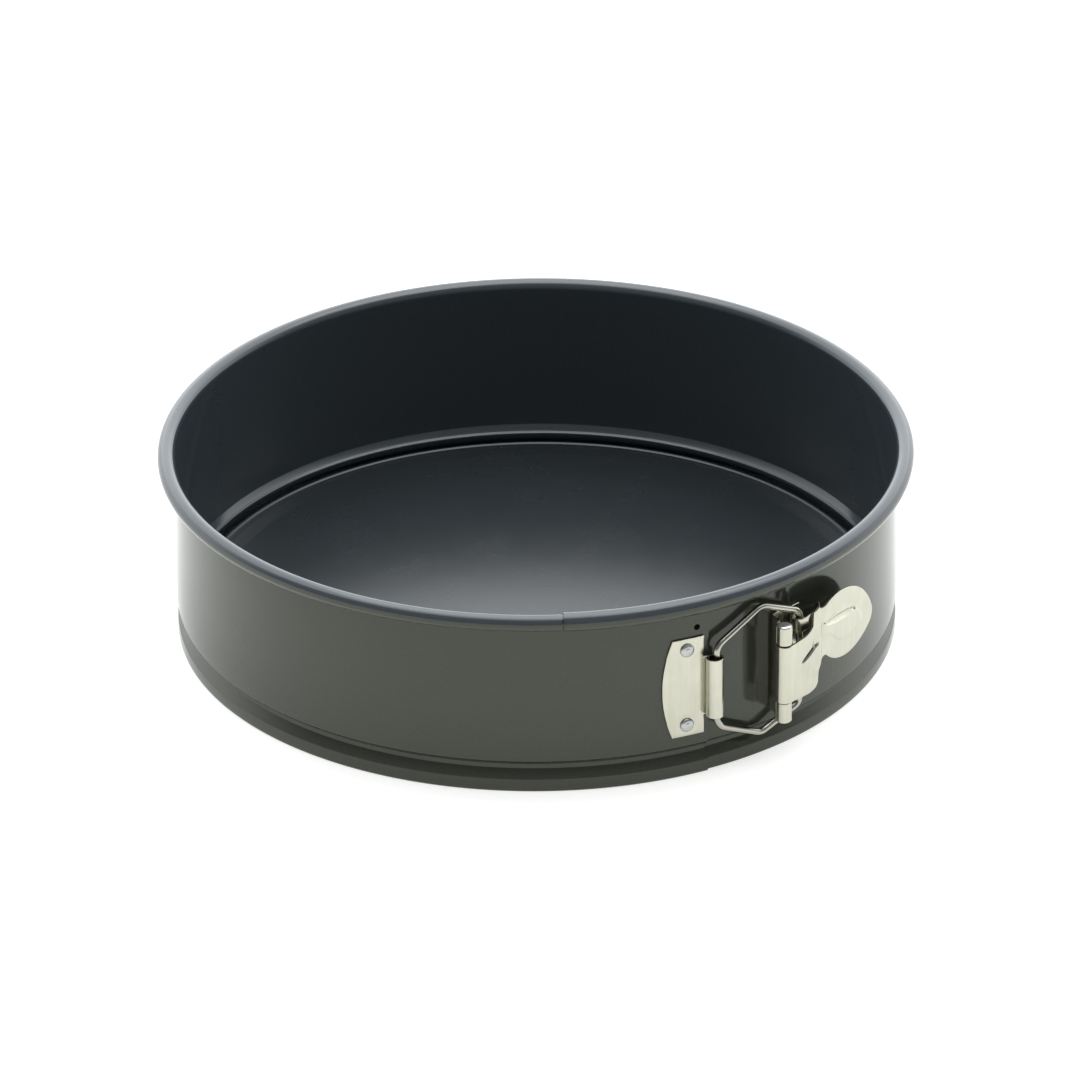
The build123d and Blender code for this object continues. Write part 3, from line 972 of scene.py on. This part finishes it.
def coated_steel(name, dark, light, smooth, dull, gloss=0.5, tint=(1.0, 1.0, 1.0)):
    """Non-stick coating on steel: nearly black, with a soft sheen and a fine sprayed grain."""
    n = Nodes(name)
    cloud = n.mix(n.noise(18.0), dark, light)
    fleck = tuple(1.3 * channel for channel in light)
    colour = n.mix(n.noise(1400.0, 2.0), cloud, fleck)
    n.constant("IOR", 1.5)
    n.constant("Specular IOR Level", gloss)
    n.constant("Specular Tint", (*tint, 1.0))
    roughness = n.spread(n.noise(60.0, 2.0), smooth, dull)
    return n.surface(colour, roughness, n.bump(n.noise(350.0, 2.0), 0.001 * MM))


def painted_gap_shade(name):
    """Painted shade: a near-black, unlit colour that stands for the shadowed inside of a hole or a
    slit.
    """
    n = Nodes(name)
    # painted shade, near black with a faint speckle
    colour = n.mix(n.noise(900.0), (0.002, 0.002, 0.002), (0.006, 0.006, 0.005))
    n.link(colour, n.shader.inputs["Base Color"])
    n.constant("Specular IOR Level", 0.0)
    n.constant("Roughness", 0.9)
    return n.material


def tinplate(name, dark, light):
    """Bright tinned steel: satin and a little uneven, with faint upright rolling marks."""
    n = Nodes(name)
    marks = n.noise(700.0, 3.0, n.scaled(1.0, 1.0, 0.08))
    cloud = n.mix(n.noise(110.0, 5.0), dark, light)
    worn = tuple(0.75 * channel for channel in dark)
    colour = n.mix(n.spread(marks, 0.0, 0.25, 0.35, 0.8), cloud, worn)
    n.constant("Metallic", 1.0)
    roughness = n.spread(n.noise(240.0, 2.0), 0.12, 0.3)
    return n.surface(colour, roughness, n.bump(n.noise(500.0, 2.0), 0.006 * MM))


def aluminium(name, hammering):
    """Soft grey metal, with marks as deep as the hammering that set it."""
    n = Nodes(name)
    colour = n.mix(n.noise(900.0), (0.36, 0.37, 0.36), (0.5, 0.51, 0.5))
    n.constant("Metallic", 1.0)
    roughness = n.spread(n.noise(700.0, 2.0), 0.22, 0.45)
    return n.surface(colour, roughness, n.bump(n.noise(900.0, 2.0), hammering * MM))


def fit(pieces, node, body, material):
    """Put modelled pieces in the place of a node, on its body."""
    for piece in pieces:
        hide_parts(node)
        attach(piece, body)
        dress(piece, material)


def dress(obj, material):
    obj.data.materials.clear()
    obj.data.materials.append(material)


# ---------------------------------------------------------------- stage
def make_floor():
    """A pale sweep that fades to dark well in front of the pan, like the end of a lit table. Near
    the pan it glows with painted light, which washes out the pan's shadow on it.
    """
    size = 3.0
    dark_end, lit_end = -1.1, -0.65
    mesh = bpy.data.meshes.new("floor")
    corners = [(-size, -size, 0), (size, -size, 0), (size, size, 0), (-size, size, 0)]
    mesh.from_pydata(corners, [], [(0, 1, 2, 3)])
    floor = bpy.data.objects.new("floor", mesh)
    bpy.context.scene.collection.objects.link(floor)
    n = Nodes("floor_paper")
    split = n.add("ShaderNodeSeparateXYZ")
    n.link(n.place, split.inputs["Vector"])
    # painted light: the floor glows near the pan, enough to wash out the pan's shadow on it, and
    # stops glowing towards the dark end
    glow = n.spread(split.outputs["Y"], 0.0, 0.66, dark_end, lit_end)
    lit = n.spread(split.outputs["Y"], 0.0, 1.0, dark_end, lit_end)
    paper = n.mix(n.noise(3.0), (0.4, 0.4, 0.4), (0.43, 0.43, 0.42))
    n.link(n.mix(lit, (0.03, 0.03, 0.03), paper), n.shader.inputs["Base Color"])
    n.constant("Roughness", 0.9)
    n.constant("Emission Color", (1.0, 1.0, 0.98, 1.0))
    n.link(glow, n.shader.inputs["Emission Strength"])
    floor.data.materials.append(n.material)


def make_world():
    """A bright ceiling that leans to the back, a bright back wall, and a dark room in front."""
    world = bpy.data.worlds.new("studio")
    bpy.context.scene.world = world
    world.use_nodes = True
    tree = world.node_tree
    background = tree.nodes["Background"]

    def node(kind, **settings):
        made = tree.nodes.new(kind)
        for key, value in settings.items():
            setattr(made, key, value)
        return made

    def ramp(value, from_low, from_high, low, high):
        made = node("ShaderNodeMapRange", interpolation_type="SMOOTHSTEP")
        settings = (from_low, from_high, low, high)
        for key, number in zip(("From Min", "From Max", "To Min", "To Max"), settings):
            made.inputs[key].default_value = number
        tree.links.new(value, made.inputs["Value"])
        return made.outputs["Result"]

    ceiling_direction = (0.0, 0.5, 0.866)
    ceiling_strength, back_strength, front_strength = 3.1, 2.1, 0.28
    direction = node("ShaderNodeTexCoord").outputs["Generated"]
    split = node("ShaderNodeSeparateXYZ")
    tree.links.new(direction, split.inputs["Vector"])
    leaning = node("ShaderNodeVectorMath", operation="DOT_PRODUCT")
    leaning.inputs[1].default_value = ceiling_direction
    tree.links.new(direction, leaning.inputs[0])
    ceiling = ramp(leaning.outputs["Value"], 0.5, 0.66, 0.0, ceiling_strength)
    back = ramp(split.outputs["Y"], -0.2, 0.5, front_strength, back_strength)
    brighter = node("ShaderNodeMath", operation="MAXIMUM")
    tree.links.new(ceiling, brighter.inputs[0])
    tree.links.new(back, brighter.inputs[1])
    tree.links.new(brighter.outputs["Value"], background.inputs["Strength"])
    background.inputs["Color"].default_value = (0.95, 0.98, 1.0, 1.0)


def make_light():
    """One large soft box over the pan."""
    data = bpy.data.lights.new("soft_box", "AREA")
    data.shape = "RECTANGLE"
    data.size = 1.6
    data.size_y = 1.2
    data.energy = 12.0
    light = bpy.data.objects.new("soft_box", data)
    light.location = (0.1, 0.3, 1.6)
    bpy.context.scene.collection.objects.link(light)
    to_pan = -light.location
    light.rotation_euler = to_pan.to_track_quat("-Z", "Y").to_euler()


def make_camera():
    """A long lens, looking down at the front of the pan, with a slight roll."""
    elevation = math.radians(27.67)
    roll = math.radians(-0.377)
    distance = 3.092
    target = Vector((0.0011, 0, 0.0312))
    data = bpy.data.cameras.new("camera")
    data.sensor_width = 36.0
    data.lens = 283.7
    data.clip_end = 20.0
    data.dof.use_dof = False
    camera = bpy.data.objects.new("camera", data)
    back = Vector((0, -math.cos(elevation), math.sin(elevation)))
    side = Vector((1, 0, 0))
    up = back.cross(side)
    right = side * math.cos(roll) + up * math.sin(roll)
    top = up * math.cos(roll) - side * math.sin(roll)
    place = target + back * distance
    rows = [(right[i], top[i], back[i], place[i]) for i in range(3)]
    camera.matrix_world = Matrix([*rows, (0, 0, 0, 1)])
    bpy.context.scene.collection.objects.link(camera)
    bpy.context.scene.camera = camera


# ---------------------------------------------------------------- assemble
make_floor()
make_world()
make_light()
make_camera()

outside = coated_steel(
    "coated_outside", (0.025, 0.028, 0.022), (0.030, 0.033, 0.026), smooth=0.09, dull=0.15,
    gloss=0.48, tint=(0.97, 1.0, 0.88),
)
inside = coated_steel(
    "coated_inside", (0.028, 0.035, 0.040), (0.034, 0.041, 0.047), smooth=0.08, dull=0.14,
)
base_finish = coated_steel(
    "coated_base", (0.010, 0.013, 0.015), (0.013, 0.016, 0.018), smooth=0.23, dull=0.3,
)
tin = tinplate("tinplate", (0.455, 0.445, 0.37), (0.53, 0.52, 0.435))
wire_finish = tinplate("drawn_wire", (0.34, 0.33, 0.29), (0.46, 0.45, 0.39))
shadow = painted_gap_shade("slit_shadow")
soft_metal = aluminium("aluminium", hammering=0.01)
peened_metal = aluminium("peened_aluminium", hammering=0.1)

make_band(coats=(outside, inside))
make_base(base_finish)

fit(make_latch_plate(), "latch_plate", "strip_end", tin)
fit([make_bail()], "bail", "bail", wire_finish)
fit(make_bracket(), "hinge_bracket", "ring", tin)
fit([make_pin()], "hinge_pin", "ring", peened_metal)
sheet, slit, *ears = make_lever()
fit([sheet, *ears], "lever", "lever", tin)
# the slit's dark leaf is painted shade
fit([slit], "lever", "lever", shadow)

plate_face = OUTER_WALL + HARDWARE
bracket_face = INNER_WALL + BRACKET_SHEET
bracket_rivet_angle = PIN_ANGLE + math.degrees(BRACKET_RIVET_REACH / INNER_WALL)
for end, side in (("upper", 1), ("lower", -1)):
    height = LATCH_HEIGHT + side * RIVET_PITCH / 2
    rivet = make_rivet(f"plate_rivet_{end}_dome", PLATE_ANGLE, height, plate_face, -LAYER_OFFSET)
    fit([rivet], f"plate_rivet_{end}", "strip_end", soft_metal)
    height = LATCH_HEIGHT + side * BRACKET_RIVET_PITCH / 2
    rivet = make_rivet(f"bracket_rivet_{end}_dome", bracket_rivet_angle, height, bracket_face)
    fit([rivet], f"bracket_rivet_{end}", "ring", soft_metal)
# the hole's mouth and burr are a disc dressed in painted shade
hole = make_hole_shade()
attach(hole, "strip_end")
dress(hole, shadow)

bpy.context.scene.view_settings.view_transform = "Standard"
